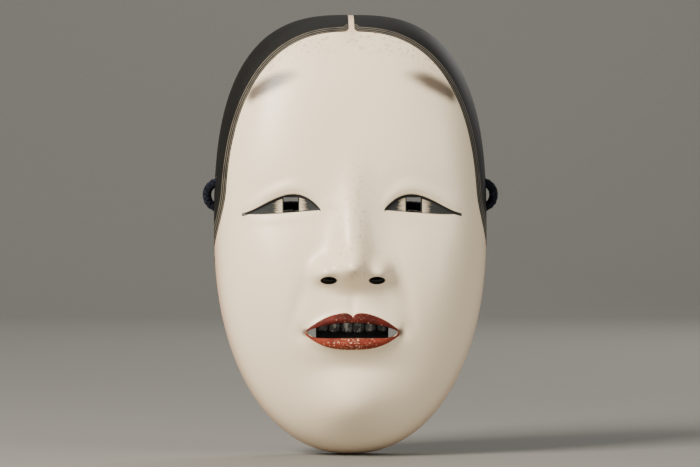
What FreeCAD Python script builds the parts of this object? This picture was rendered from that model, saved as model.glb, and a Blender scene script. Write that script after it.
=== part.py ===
import FreeCAD, Part
import math
import os
import Sketcher
from FreeCAD import Vector

# Noh mask of the young-woman type. +Z up, the face looks toward -Y, +X is the viewer's right.
# The origin is the middle of the back rim's plane, y = 0. Millimetres throughout.

SIZES = [
    ("mask_width", 132.0),
    ("mask_height", 213.0),
    ("dome_depth", 50.0),
    ("wall", 8.0),
    ("ground_coat", 0.9),
    ("paint_coat", 0.6),
    ("lacquer_coat", 0.6),
    ("pupil_offset", 29.2),
    ("pupil_height", 14.5),
    ("pupil_wide", 7.2),
    ("pupil_tall", 6.8),
    ("nostril_offset", 11.4),
    ("nostril_height", -21.4),
    ("nostril_wide", 7.2),
    ("nostril_tall", 4.0),
    ("mouth_half", 21.3),
    ("teeth_half", 17.2),
    ("teeth_recess", 5.0),
    ("sill_recess", 9.4),
    ("tooth_pitch", 5.7),
    ("parting_half", 1.4),
    ("cord_diameter", 4.4),
    ("cord_hole_radius", 2.6),
    ("hole_depth", 12.0),
    ("hole_height", 26.5),
    ("notch_height", 11.5),
    ("notch_radius", 4.0),
    ("notch_deep", 7.2),
    ("knot_radius", 4.6),
    ("coil_radius", 22.8),
    ("coil_half", 4.6),
    ("coil_offset", 28.1),
    ("coil_depth", 6.2),
    ("coil_height", -13.2),
    ("lead_long", 15.5),
    ("tie_long", 4.0),
    ("tie_thick", 1.0),
    ("tip_radius", 2.6),
    ("tip_long", 9.0),
]

GRID_ACROSS = 81
GRID_UP = 107
FOCUS = 0.6
BEHIND = 7.5
SQUARENESS = 2.8

doc = FreeCAD.newDocument("NohMask")
sheet = doc.addObject("Spreadsheet::Sheet", "Sizes")
for row, (alias, value) in enumerate(SIZES, start=1):
    sheet.set("A%d" % row, alias)
    sheet.set("B%d" % row, str(value))
    sheet.setAlias("B%d" % row, alias)
doc.recompute()


def size(alias):
    """The value of a named cell."""
    return float(sheet.get(alias))


def smooth(low, high, value):
    """0 at low, 1 at high, with an S-shaped rise between them."""
    t = min(max((value - low) / (high - low), 0.0), 1.0)
    return t * t * (3.0 - 2.0 * t)


def bump(x, z, centre_x, centre_z, wide, tall):
    """A round hill of height 1."""
    return math.exp(-(((x - centre_x) / wide) ** 2) - ((z - centre_z) / tall) ** 2)


def lid_share(x):
    """0 at an eye's inner corner and 1 at its outer corner."""
    return min(max((abs(x) - 14.9) / 37.8, 0.0), 1.0)


def lid_top(x):
    """Upper edge of an eye's opening."""
    t = lid_share(x)
    return 11.9 - 1.7 * t + 48.4 * t * (1.0 - t) ** 1.75


def lid_bottom(x):
    """Lower edge of an eye's opening."""
    t = lid_share(x)
    return 11.9 - 1.7 * t - 4.5 * t * t * (1.0 - t)


def slot_top(x):
    """Lower edge of the upper lip."""
    return -41.0 - 4.6 * min(abs(x) / 22.4, 1.2) ** 2.4


def slot_bottom(x):
    """Upper edge of the lower lip."""
    return -49.3 + 3.2 * min(abs(x) / 22.0, 1.1) ** 9


def bow(x):
    """Upper edge of the upper lip, with two broad peaks and a narrow notch between them."""
    return -36.3 - 9.0 * (abs(x) / 22.4) ** 2.2 - 2.5 * math.exp(-abs(x) / 1.4)


def lower_edge(x):
    """Lower edge of the lower lip."""
    return -54.4 + 6.6 * (abs(x) / 21.6) ** 2.7


def nose(x, z):
    """Bridge, tip and wings of the nose."""
    rise = min(max((48.0 - z) / 62.0, 0.0), 1.0)
    wide = 7.0 + 3.6 * rise * rise
    bridge = 11.6 * rise ** 1.7 * math.exp(-((x / wide) ** 2))
    tip = 5.2 * bump(x, z, 0.0, -15.0, 8.0, 7.2)
    wings = 6.8 * bump(abs(x), z, 13.6, -18.0, 5.3, 6.0)
    return (bridge + tip) * smooth(-29.5, -15.5, z) + wings * smooth(-27.0, -18.0, z)


def mouth(x, z):
    """Fullness round the mouth, the two lips, the drawn-in corners and the groove above."""
    across = max(1.0 - (x / 24.0) ** 2, 0.0)
    upper_middle = (bow(x) + slot_top(x)) / 2.0 - 0.6
    lower_middle = (lower_edge(x) + slot_bottom(x)) / 2.0
    upper = 2.6 * math.exp(-(((z - upper_middle) / 2.7) ** 2)) * across
    lower = 3.4 * math.exp(-(((z - lower_middle) / 3.3) ** 2)) * across
    corner = -1.0 * bump(abs(x), z, 24.0, -46.0, 3.2, 4.0)
    groove = -0.7 * bump(x, z, 0.0, -32.5, 2.4, 4.5)
    return 4.4 * bump(x, z, 0.0, -45.0, 25.0, 16.0) + upper + lower + corner + groove


def eyes(x, z):
    """Sockets, lids and the flatter ground of the eye openings."""
    far = abs(x)
    near = bump(far, 0.0, 32.0, 0.0, 17.0, 1.0)
    socket = -2.6 * bump(far, z, 31.0, 13.0, 19.0, 12.0)
    lid = 1.3 * math.exp(-(((z - lid_top(x) - 3.4) / 3.4) ** 2)) * near
    under = 0.4 * math.exp(-(((z - lid_bottom(x) + 2.6) / 2.6) ** 2)) * near
    within = smooth(-0.9, 0.9, lid_top(x) - z) * smooth(-0.9, 0.9, z - lid_bottom(x))
    between_corners = smooth(0.0, 0.05, lid_share(x)) * smooth(0.0, 0.05, 1.0 - lid_share(x))
    return socket + lid + under - 1.1 * within * between_corners


def relief(x, z):
    """How far the carved face stands in front of the plain dome."""
    far = abs(x)
    cheeks = 2.8 * bump(far, z, 35.0, -24.0, 20.0, 26.0)
    chin = 6.8 * bump(x, z, 0.0, -81.0, 17.0, 13.0)
    groove = -2.2 * bump(x, z, 0.0, -62.5, 16.0, 5.5)
    fold = -0.8 * bump(far, z, 25.0 + 0.25 * (-30.0 - z), -34.0, 3.6, 12.0)
    return nose(x, z) + mouth(x, z) + eyes(x, z) + cheeks + chin + groove + fold


def hollow_relief(x, z):
    """The inside follows only the nose and the chin."""
    return 8.0 * bump(x, z, 0.0, -12.0, 10.0, 20.0) + 4.0 * bump(x, z, 0.0, -72.0, 16.0, 12.0)


def dome_point(u, v, half_wide, half_tall, depth, carve):
    """A point of the dome for a place u, v on the square from -1 to 1."""
    across = u * math.sqrt(1.0 - v * v / 2.0)
    up = v * math.sqrt(1.0 - u * u / 2.0)
    r = math.hypot(across, up)
    if r < 1e-9:
        return Vector(0.0, -depth - carve(0.0, 0.0), 0.0)
    polar = r * (math.pi / 2.0 + math.atan(BEHIND / depth))
    across, up = across / r, up / r
    power = 2.8 if up > 0.0 else 2.15
    norm = (abs(across) ** power + abs(up) ** power) ** (1.0 / power)
    s, c = math.sin(polar), math.cos(polar)
    length = (abs(s) ** SQUARENESS + abs(c) ** SQUARENESS) ** (1.0 / SQUARENESS)
    x = half_wide * s / length * across / norm
    z = half_tall * s / length * up / norm
    front = c / length
    return Vector(x, -depth * front - carve(x, z) * smooth(0.1, 0.55, front), z)


def spread(index, count):
    """A place from -1 to 1, closer to its neighbours about the middle."""
    t = -1.0 + 2.0 * index / (count - 1)
    return t * (FOCUS + (1.0 - FOCUS) * t * t)


def dome_face(half_wide, half_tall, depth, carve, offset):
    """The dome as one surface, moved outward by offset along its own normals."""
    rows = []
    step = 1e-4
    for i in range(GRID_ACROSS):
        u = spread(i, GRID_ACROSS)
        row_points = []
        for j in range(GRID_UP):
            v = spread(j, GRID_UP)
            edge = max(abs(u), abs(v)) > 1.0 - 1e-9
            nu = min(max(u, -1.0 + 2.0 * step), 1.0 - 2.0 * step)
            nv = min(max(v, -1.0 + 2.0 * step), 1.0 - 2.0 * step)
            args = (half_wide, half_tall, depth, carve)
            point = dome_point(u, v, *args)
            along = dome_point(nu + step, nv, *args) - dome_point(nu - step, nv, *args)
            upward = dome_point(nu, nv + step, *args) - dome_point(nu, nv - step, *args)
            normal = along.cross(upward)
            normal.normalize()
            moved = point + normal * offset
            if edge:
                moved.y = point.y
            row_points.append(moved)
        rows.append(row_points)
    surface = Part.BSplineSurface()
    surface.interpolate(rows)
    return surface.toShape()


def cut_at_rim(face):
    """The curved faces of a dome that lie in front of the rim's plane."""
    behind = Part.makeBox(400.0, 40.0, 500.0, Vector(-200.0, 0.0, -250.0))
    return face.cut(behind)


def rim_wire(skin):
    """The closed edge of a cut-off dome in the rim's plane."""
    edges = [e for e in skin.Edges if max(abs(e.BoundBox.YMin), abs(e.BoundBox.YMax)) < 0.01]
    return Part.Wire(Part.__sortEdges__(edges))


def between(outer, inner):
    """The solid between two cut-off domes that never touch each other."""
    ring = Part.makeFace([rim_wire(outer), rim_wire(inner)], "Part::FaceMakerBullseye")
    solid = Part.Solid(Part.Shell(outer.Faces + inner.Faces + ring.Faces))
    if not solid.isValid():
        solid.fix(1e-4, 1e-4, 1e-4)
    if solid.Volume < 0.0:
        solid.reverse()
    return solid


def spline_edge(points):
    """A smooth edge through x, z places, drawn in the rim's plane."""
    curve = Part.BSplineCurve()
    curve.interpolate([Vector(x, 0.0, z) for x, z in points])
    return curve.toShape()


def prism(edges):
    """A closed outline in the rim's plane, pushed forward through the whole mask."""
    face = Part.Face(Part.Wire(Part.__sortEdges__(edges)))
    bar = face.extrude(Vector(0.0, 100.0, 0.0))
    bar.translate(Vector(0.0, -90.0, 0.0))
    return bar


def line_edge(x1, z1, x2, z2):
    return Part.LineSegment(Vector(x1, 0.0, z1), Vector(x2, 0.0, z2)).toShape()


def band(top, bottom):
    """The prism between an upper and a lower row of places that run the same way."""
    ends = [line_edge(*top[0], *bottom[0]), line_edge(*top[-1], *bottom[-1])]
    return prism([spline_edge(top), spline_edge(bottom)] + ends)


def places_along(line, half, count=17):
    """Places on one line of the mouth, from corner to corner, closer together at the corners."""
    across = [half * math.sin(math.pi * (i / (count - 1) - 0.5)) for i in range(count)]
    return [(x, line(x)) for x in across]


def hairline(z):
    """Half-width of the bare face at a height: an oval that opens out beside the cheeks."""
    t = min(max(z / 97.3, 0.0), 1.0)
    return 60.5 * (1.0 - t ** 2.5) ** 0.4 + 6.4 * smooth(22.0, -15.0, z)


def hair_region(side):
    """The prism over the painted hair on one side of the parting."""
    part_half = size("parting_half")
    heights = [97.2, 96.4, 94.8, 91.5, 86.0, 79.0, 70.0, 58.0, 44.0, 30.0, 16.0, 4.0, -6.0, -14.0]
    places = [(part_half, 97.3)] + [(max(hairline(z), part_half + 1.0), z) for z in heights]
    places = [(side * x, z) for x, z in places]
    far = side * 82.0
    low_x, low_z = places[-1]
    corners = [
        line_edge(low_x, low_z, far, low_z),
        line_edge(far, low_z, far, 120.0),
        line_edge(far, 120.0, side * part_half, 120.0),
        line_edge(side * part_half, 120.0, *places[0]),
    ]
    return prism([spline_edge(places)] + corners)


def pupil(side):
    wide, tall = size("pupil_wide"), size("pupil_tall")
    corner = Vector(side * size("pupil_offset") - wide / 2.0, -90.0, size("pupil_height") - tall / 2.0)
    return Part.makeBox(wide, 100.0, tall, corner)


def nostril(side):
    """An oval bore that runs up and back from under the nose."""
    along = Vector(-0.13 * side, 0.79, 0.60)
    along.normalize()
    start = Vector(side * size("nostril_offset"), -58.0, size("nostril_height")) - along * 12.0
    oval = Part.Ellipse(Vector(0.0, 0.0, 0.0), size("nostril_wide") / 2.0, size("nostril_tall") / 2.0).toShape()
    face = Part.Face(Part.Wire([oval]))
    bore = face.extrude(Vector(0.0, 0.0, 46.0))
    bore.Placement = FreeCAD.Placement(start, FreeCAD.Rotation(Vector(side, 0.0, 0.0), Vector(), along, "ZXY"))
    return bore


def mouth_slot():
    half = size("mouth_half")
    return band(places_along(slot_top, half), places_along(slot_bottom, half))


def cord_hole(side):
    start = Vector(side * 40.0, -size("hole_depth"), size("hole_height"))
    return Part.makeCylinder(size("cord_hole_radius"), 45.0, start, Vector(side, 0.0, 0.0))


def rim_notch(side):
    """A U-shaped relief in the rim, where the cord goes round to the inside."""
    radius, height = size("notch_radius"), size("notch_height")
    floor = size("notch_deep") - radius
    round_end = Part.makeCylinder(radius, 40.0, Vector(side * 42.0, -floor, height), Vector(side, 0.0, 0.0))
    low_x = 42.0 if side > 0 else -82.0
    straight = Part.makeBox(40.0, floor + 10.0, 2.0 * radius, Vector(low_x, -floor, height - radius))
    return round_end.fuse(straight)


def cord_route(side):
    """From the knot out of its hole, down beside the wall, round the rim and in to the top of the coil."""
    knot_reach = math.sqrt(size("knot_radius") ** 2 - (size("cord_diameter") / 2.0) ** 2)
    lead_y = -size("coil_depth") + size("cord_diameter") / 2.0
    lead_z = size("coil_height") + size("coil_radius") + size("cord_diameter") / 2.0
    deep = size("hole_depth")
    points = [
        (51.8 + knot_reach, -deep, size("hole_height")),
        (69.4, -deep, size("hole_height") + 0.3),
        (69.6, lead_y, lead_z),
        (size("coil_offset") + size("lead_long"), lead_y, lead_z),
    ]
    return [Vector(side * x, y, z) for x, y, z in points]


def rounded_path(points):
    """Straight runs joined by tangent arcs, as a wire, with the arcs' radii."""
    edges, radii, here = [], [], points[0]
    for before, corner, after in zip(points, points[1:], points[2:]):
        back, ahead = before - corner, after - corner
        reach = 0.45 * min(back.Length, ahead.Length)
        turn = math.pi - back.getAngle(ahead)
        radii.append(reach / math.tan(turn / 2.0))
        start = corner + back * (reach / back.Length)
        end = corner + ahead * (reach / ahead.Length)
        inward = (start + end) * 0.5 - corner
        to_middle = radii[-1] / math.cos(turn / 2.0) - radii[-1]
        middle = corner + inward * (to_middle / inward.Length)
        edges.append(Part.LineSegment(here, start).toShape())
        edges.append(Part.Arc(start, middle, end).toShape())
        here = end
    edges.append(Part.LineSegment(here, points[-1]).toShape())
    return Part.Wire(edges), radii


def cord_tube(side):
    path, radii = rounded_path(cord_route(side))
    first = path.Edges[0]
    start = first.valueAt(first.FirstParameter)
    along = first.tangentAt(first.FirstParameter)
    ring = Part.Wire([Part.Circle(start, along, size("cord_diameter") / 2.0).toShape()])
    tube = path.makePipeShell([ring], True, False)
    expected = math.pi * size("cord_diameter") ** 2 / 4.0 * path.Length
    print("cord", side, "radii", [round(r, 2) for r in radii], "length", round(path.Length, 2))
    print("cord", side, "volume", round(tube.Volume, 1), "expected", round(expected, 1))
    return tube


def feature(name, shape, placement=None):
    """A free-form sub-part as a document object."""
    item = doc.addObject("Part::Feature", name)
    item.Label = name
    item.Shape = shape
    item.Placement = placement or FreeCAD.Placement()
    return item


def add_section(sketch):
    """A square held by constraints beside the sketch's vertical axis."""
    mid, half = size("coil_radius"), size("coil_half")
    corners = [(mid - half, -half), (mid + half, -half), (mid + half, half), (mid - half, half)]
    for i in range(4):
        start = Vector(corners[i][0], corners[i][1], 0.0)
        end = Vector(corners[(i + 1) % 4][0], corners[(i + 1) % 4][1], 0.0)
        sketch.addGeometry(Part.LineSegment(start, end), False)
    for i in range(4):
        sketch.addConstraint(Sketcher.Constraint("Coincident", i, 2, (i + 1) % 4, 1))
    for i, kind in enumerate(["Horizontal", "Vertical", "Horizontal", "Vertical"]):
        sketch.addConstraint(Sketcher.Constraint(kind, i))
    driving = [
        ("inner", "DistanceX", (-1, 1, 0, 1), mid - half, "Sizes.coil_radius - Sizes.coil_half"),
        ("wide", "DistanceX", (0, 1, 0, 2), 2.0 * half, "2 * Sizes.coil_half"),
        ("below", "DistanceY", (0, 1, -1, 1), half, "Sizes.coil_half"),
        ("tall", "DistanceY", (1, 1, 1, 2), 2.0 * half, "2 * Sizes.coil_half"),
    ]
    for name, kind, where, value, expression in driving:
        index = sketch.addConstraint(Sketcher.Constraint(kind, *where, value))
        sketch.renameConstraint(index, name)
        sketch.setExpression("Constraints." + name, expression)


def make_coil(name, side):
    """The closed ring of a wound cord, with the short lead that runs into its top."""
    body = doc.addObject("PartDesign::Body", name)
    body.Label = name
    sketch = body.newObject("Sketcher::SketchObject", name + "_section")
    sketch.AttachmentSupport = [(body.Origin.OriginFeatures[3], "")]
    sketch.MapMode = "FlatFace"
    add_section(sketch)
    ring = body.newObject("PartDesign::Revolution", name + "_ring")
    ring.Profile = sketch
    ring.ReferenceAxis = (sketch, ["V_Axis"])
    ring.Angle = 360.0
    doc.recompute()
    rounding = body.newObject("PartDesign::Fillet", name + "_rounding")
    edges = ["Edge%d" % (i + 1) for i, e in enumerate(ring.Shape.Edges) if isinstance(e.Curve, Part.Circle)]
    rounding.Base = (ring, edges)
    rounding.Radius = 1.9
    doc.recompute()
    lead = body.newObject("PartDesign::AdditiveCylinder", name + "_lead")
    lead.setExpression("Radius", "Sizes.cord_diameter / 2")
    lead.setExpression("Height", "Sizes.lead_long")
    top = size("coil_radius") + size("cord_diameter") / 2.0
    sideways = FreeCAD.Rotation(Vector(0, 1, 0), 90.0 * side)
    lead.Placement = FreeCAD.Placement(Vector(0.0, size("cord_diameter") / 2.0, top), sideways)
    body.Tip = lead
    body.Placement = coil_place(side)
    doc.recompute()
    return body


def coil_place(side):
    place = Vector(side * size("coil_offset"), -size("coil_depth"), size("coil_height"))
    return FreeCAD.Placement(place, FreeCAD.Rotation())


def make_knot(name, side):
    """A round stopper knot with a flat where its cord leaves it."""
    knot = doc.addObject("Part::Sphere", name)
    knot.Label = name
    knot.setExpression("Radius", "Sizes.knot_radius")
    knot.setExpression("Angle2", "asin(sqrt(1 - (Sizes.cord_diameter / 2 / Sizes.knot_radius) ^ 2))")
    place = Vector(side * 51.8, -size("hole_depth"), size("hole_height"))
    knot.Placement = FreeCAD.Placement(place, FreeCAD.Rotation(Vector(0, 1, 0), 90.0 * side))
    return knot


def tie_shape(coil):
    """A square collar round the lowest part of the ring, less the ring itself."""
    across = 2.0 * (size("coil_half") + size("tie_thick"))
    long = size("tie_long")
    corner = Vector(-long / 2.0, -across / 2.0, -size("coil_radius") - across / 2.0)
    collar = Part.makeBox(long, across, across, corner)
    lengthways = [e for e in collar.Edges if abs(e.BoundBox.XLength - long) < 1e-6]
    return collar.makeFillet(2.2, lengthways).cut(coil)


def tip_shape(coil, side):
    """The bound end of a cord, which comes out of the ring's inner side."""
    start = Vector(-15.2 * side, size("cord_diameter") / 2.0, -1.0)
    return Part.makeCylinder(size("tip_radius"), size("tip_long"), start).cut(coil)


def finish_checks(nodes):
    """Every object is in order, and every sub-part is one valid solid."""
    doc.recompute()
    for item in doc.Objects:
        if "Invalid" in item.State or "Error" in item.State:
            raise RuntimeError("%s is in state %s" % (item.Name, item.State))
    for item in nodes:
        shape = item.Shape
        if shape.isNull() or not shape.isValid() or len(shape.Solids) != 1:
            raise RuntimeError("%s has no single valid solid" % item.Label)
        print(item.Label, round(shape.Volume, 1), [round(v, 2) for v in (
            shape.BoundBox.XMin, shape.BoundBox.YMin, shape.BoundBox.ZMin,
            shape.BoundBox.XMax, shape.BoundBox.YMax, shape.BoundBox.ZMax)])


half_wide = size("mask_width") / 2.0
half_tall = size("mask_height") / 2.0
dome = (half_wide, half_tall, size("dome_depth"), relief)
wall = size("wall")
hollow = (half_wide - wall, half_tall - wall, size("dome_depth") - wall - 0.5, hollow_relief)

ground_skin = cut_at_rim(dome_face(*dome, 0.0))
wood_skin = cut_at_rim(dome_face(*dome, -size("ground_coat")))
paint_skin = cut_at_rim(dome_face(*dome, size("paint_coat")))
teeth_skin = cut_at_rim(dome_face(*dome, -size("teeth_recess")))
sill_skin = cut_at_rim(dome_face(*dome, -size("sill_recess")))
inner_skin = cut_at_rim(dome_face(*hollow, 0.0))
lacquer_skin = cut_at_rim(dome_face(*hollow, -size("lacquer_coat")))

cord_cuts = [make(side) for make in (cord_hole, rim_notch) for side in (-1, 1)]
all_cuts = cord_cuts + [make(side) for make in (pupil, nostril) for side in (-1, 1)] + [mouth_slot()]
paint = between(paint_skin, ground_skin)
upper_lip = band(places_along(bow, 22.1), places_along(slot_top, 22.1))
lower_lip = band(places_along(slot_bottom, 21.0), places_along(lower_edge, 21.0))
teeth_half = size("teeth_half")
tooth_tips = [(x, -46.4) for x in (-teeth_half, 0.0, teeth_half)]
teeth_band = band(places_along(slot_top, teeth_half), tooth_tips)
sill_band = band(places_along(slot_top, teeth_half), places_along(slot_bottom, teeth_half))
teeth = between(teeth_skin, inner_skin).common(teeth_band)
teeth = teeth.fuse(between(sill_skin, inner_skin).common(sill_band))
grooves = []
for place in range(-3, 4):
    groove = Part.makeBox(1.2, 1.2, 12.0, Vector(-0.6, -0.6, -6.0))
    groove.rotate(Vector(), Vector(0, 0, 1), 45.0)
    x = place * size("tooth_pitch")
    front = min(v.Y for v in teeth.common(Part.makeBox(0.2, 60, 3, Vector(x - 0.1, -70, -45.5))).Vertexes)
    groove.translate(Vector(x, front, -44.0))
    grooves.append(groove)

nodes = [
    feature("mask_body", between(wood_skin, inner_skin).cut(all_cuts).Solids[0]),
    feature("ground_coat", between(ground_skin, wood_skin).cut(all_cuts).Solids[0]),
    feature("back_lacquer", between(inner_skin, lacquer_skin).cut(all_cuts).Solids[0]),
    feature("hair_left", paint.common(hair_region(-1)).cut(cord_cuts).Solids[0]),
    feature("hair_right", paint.common(hair_region(1)).cut(cord_cuts).Solids[0]),
    feature("lip_upper", paint.common(upper_lip).Solids[0]),
    feature("lip_lower", paint.common(lower_lip).Solids[0]),
    feature("teeth_row", teeth.cut(grooves).Solids[0]),
]
for name, side in (("left", -1), ("right", 1)):
    coil = make_coil("cord_coil_" + name, side)
    local_coil = coil.Shape.copy()
    local_coil.Placement = FreeCAD.Placement()
    nodes += [
        make_knot("cord_knot_" + name, side),
        feature("cord_" + name, cord_tube(side)),
        coil,
        feature("cord_tie_" + name, tie_shape(local_coil), coil_place(side)),
        feature("cord_tip_" + name, tip_shape(local_coil, side), coil_place(side)),
    ]

finish_checks(nodes)
os.makedirs("parts", exist_ok=True)
for item in nodes:
    item.Shape.exportStep("parts/%s.step" % item.Label)
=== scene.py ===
import math

import bpy
import numpy as np
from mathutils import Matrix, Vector


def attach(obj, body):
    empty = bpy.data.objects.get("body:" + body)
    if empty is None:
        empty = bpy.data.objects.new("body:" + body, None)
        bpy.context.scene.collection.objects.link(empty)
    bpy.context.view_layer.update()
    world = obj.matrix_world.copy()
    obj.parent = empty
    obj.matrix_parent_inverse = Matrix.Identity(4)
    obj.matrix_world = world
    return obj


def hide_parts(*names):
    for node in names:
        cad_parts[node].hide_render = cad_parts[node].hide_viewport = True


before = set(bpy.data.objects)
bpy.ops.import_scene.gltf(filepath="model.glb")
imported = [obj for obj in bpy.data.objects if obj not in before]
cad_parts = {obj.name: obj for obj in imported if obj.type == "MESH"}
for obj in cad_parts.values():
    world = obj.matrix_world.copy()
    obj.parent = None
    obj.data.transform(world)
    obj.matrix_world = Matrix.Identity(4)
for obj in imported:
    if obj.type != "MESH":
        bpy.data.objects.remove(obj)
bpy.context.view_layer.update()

# ---------------------------------------------------------------- sizes, in millimetres
MM = 0.001
HALF_WIDE, HALF_TALL, DEPTH = 66.0, 106.5, 50.0
WALL = 8.0
OUTER = (HALF_WIDE, HALF_TALL, DEPTH)
INNER = (HALF_WIDE - WALL, HALF_TALL - WALL, DEPTH - WALL - 0.5)
SQUARENESS = 2.8
CROWN_POWER, CHIN_POWER = 2.8, 2.15
RELIEF_FADE = (0.1, 0.55)
GROUND, HAIR, LIPS = 0.9, 0.25, 0.25
# openings in front: offset from the middle, height, half-width, half-height
PUPIL = (29.2, 14.5, 3.6, 3.4)
NOSTRIL = (11.4, -21.4, 3.7, 1.75)
NOSTRIL_INSIDE = (9.6, -13.0, 3.4, 1.9)
EYE_CORNER, EYE_LONG = 14.9, 37.8
MOUTH_HALF = 21.3
HOLE_DEPTH, HOLE_HEIGHT, HOLE_RADIUS = 12.0, 26.5, 2.6
NOTCH_HEIGHT, NOTCH_RADIUS, NOTCH_DEEP = 11.5, 4.0, 7.2
# where the side openings and the front openings may be
SIDE_FROM, SIDE_DEPTH, FRONT_DEPTH = 48.0, 25.0, 26.0
FAR_FROM_GAP = 9.0
ON_EDGE = 0.56
CORD = 4.4


# ---------------------------------------------------------------- shape of the face
def smooth(low, high, value):
    """0 at low, 1 at high, with an S-shaped rise between them."""
    t = np.clip((value - low) / (high - low), 0.0, 1.0)
    return t * t * (3.0 - 2.0 * t)


def bump(x, z, centre_x, centre_z, wide, tall):
    """A rounded hill of height 1."""
    return np.exp(-(((x - centre_x) / wide) ** 2) - ((z - centre_z) / tall) ** 2)


def lid_base(t):
    return 11.9 - 1.7 * t


def eye_span(x):
    """0 at the inner corner of an eye and 1 at its outer corner."""
    return (np.abs(x) - EYE_CORNER) / EYE_LONG


def lid_share(x):
    return np.clip(eye_span(x), 0.0, 1.0)


def lid_top(x):
    """Height of the upper lid's line; the next is the lower lid's."""
    t = lid_share(x)
    return lid_base(t) + 48.4 * t * (1.0 - t) ** 1.75


def lid_bottom(x):
    t = lid_share(x)
    return lid_base(t) - 4.5 * t * t * (1.0 - t)


def slot_top(x):
    """Height of the mouth opening's upper edge; the next is its lower edge."""
    return -41.0 - 4.6 * np.clip(np.abs(x) / 22.4, 0.0, 1.2) ** 2.4


def slot_bottom(x):
    return -49.3 + 3.2 * np.clip(np.abs(x) / 22.0, 0.0, 1.1) ** 9


def bow(x):
    """Height of the upper lip's outline; the next is the lower lip's."""
    far = np.abs(x)
    return -36.3 - 9.0 * (far / 22.4) ** 2.2 - 2.5 * np.exp(-far / 1.4)


def lower_edge(x):
    return -54.4 + 6.6 * (np.abs(x) / 21.6) ** 2.7


def nose(x, z):
    rise = np.clip((48.0 - z) / 62.0, 0.0, 1.0)
    wide = 7.0 + 3.6 * rise**2
    bridge = 11.6 * rise**1.7 * np.exp(-((x / wide) ** 2))
    tip = 5.2 * bump(x, z, 0.0, -15.0, 8.0, 7.2)
    wings = 6.8 * bump(np.abs(x), z, 13.6, -18.0, 5.3, 6.0)
    return (bridge + tip) * smooth(-29.5, -15.5, z) + wings * smooth(-27.0, -18.0, z)


def mouth(x, z):
    across = np.clip(1.0 - (x / 24.0) ** 2, 0.0, 1.0)
    upper = 2.6 * np.exp(-(((z - (bow(x) + slot_top(x)) / 2.0 + 0.6) / 2.7) ** 2)) * across
    lower = 3.4 * np.exp(-(((z - (lower_edge(x) + slot_bottom(x)) / 2.0) / 3.3) ** 2)) * across
    corner = -1.0 * bump(np.abs(x), z, 24.0, -46.0, 3.2, 4.0)
    groove = -0.7 * bump(x, z, 0.0, -32.5, 2.4, 4.5)
    return 4.4 * bump(x, z, 0.0, -45.0, 25.0, 16.0) + upper + lower + corner + groove


def eyes(x, z):
    far = np.abs(x)
    socket = -2.6 * bump(far, z, 31.0, 13.0, 19.0, 12.0)
    near = bump(far, 0.0, 32.0, 0.0, 17.0, 1.0)
    lid = 1.3 * np.exp(-(((z - lid_top(x) - 3.4) / 3.4) ** 2)) * near
    under = 0.4 * np.exp(-(((z - lid_bottom(x) + 2.6) / 2.6) ** 2)) * near
    within = smooth(-0.35, 0.35, lid_top(x) - z) * smooth(-0.35, 0.35, z - lid_bottom(x))
    between_corners = smooth(0.0, 0.05, lid_share(x)) * smooth(1.0, 0.95, lid_share(x))
    return socket + lid + under - 1.1 * within * between_corners


def relief(x, z):
    far = np.abs(x)
    cheeks = 2.8 * bump(far, z, 35.0, -24.0, 20.0, 26.0)
    chin = 6.8 * bump(x, z, 0.0, -81.0, 17.0, 13.0)
    groove = -2.2 * bump(x, z, 0.0, -62.5, 16.0, 5.5)
    fold = -0.8 * bump(far, z, 25.0 + 0.25 * (-30.0 - z), -34.0, 3.6, 12.0)
    return nose(x, z) + mouth(x, z) + eyes(x, z) + cheeks + chin + groove + fold


def hollow_relief(x, z):
    return 8.0 * bump(x, z, 0.0, -12.0, 10.0, 20.0) + 4.0 * bump(x, z, 0.0, -72.0, 16.0, 12.0)


def outline_power(up):
    return np.where(up > 0.0, CROWN_POWER, CHIN_POWER)


def outline_share(across, up):
    """0 in the middle and 1 on the outline, for places given in half-widths and half-heights."""
    power = outline_power(up)
    return (np.abs(across) ** power + np.abs(up) ** power) ** (1.0 / power)


def polar_of(share):
    """The angle from the front at which the dome has a given share of its outline."""
    return np.arctan((share**SQUARENESS / (1.0 - share**SQUARENESS)) ** (1.0 / SQUARENESS))


def dome(x, z, sizes, carve):
    """Depth of the dome in front of the rim's plane, for places well inside its outline."""
    half_wide, half_tall, depth = sizes
    share = outline_share(x / half_wide, z / half_tall)
    front = np.clip(1.0 - share**SQUARENESS, 0.0, 1.0) ** (1.0 / SQUARENESS)
    return depth * front + carve(x, z) * smooth(*RELIEF_FADE, front)


def polar_point(across, up, polar, sizes, carve):
    """Points of the dome along the direction across, up, at an angle from the front."""
    half_wide, half_tall, depth = sizes
    norm = outline_share(across, up)
    s, c = np.sin(polar), np.cos(polar)
    length = (np.abs(s) ** SQUARENESS + np.abs(c) ** SQUARENESS) ** (1.0 / SQUARENESS)
    x = half_wide * s / length * across / norm
    z = half_tall * s / length * up / norm
    front = c / length
    return np.stack([x, -depth * front - carve(x, z) * smooth(*RELIEF_FADE, front), z], -1)


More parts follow.
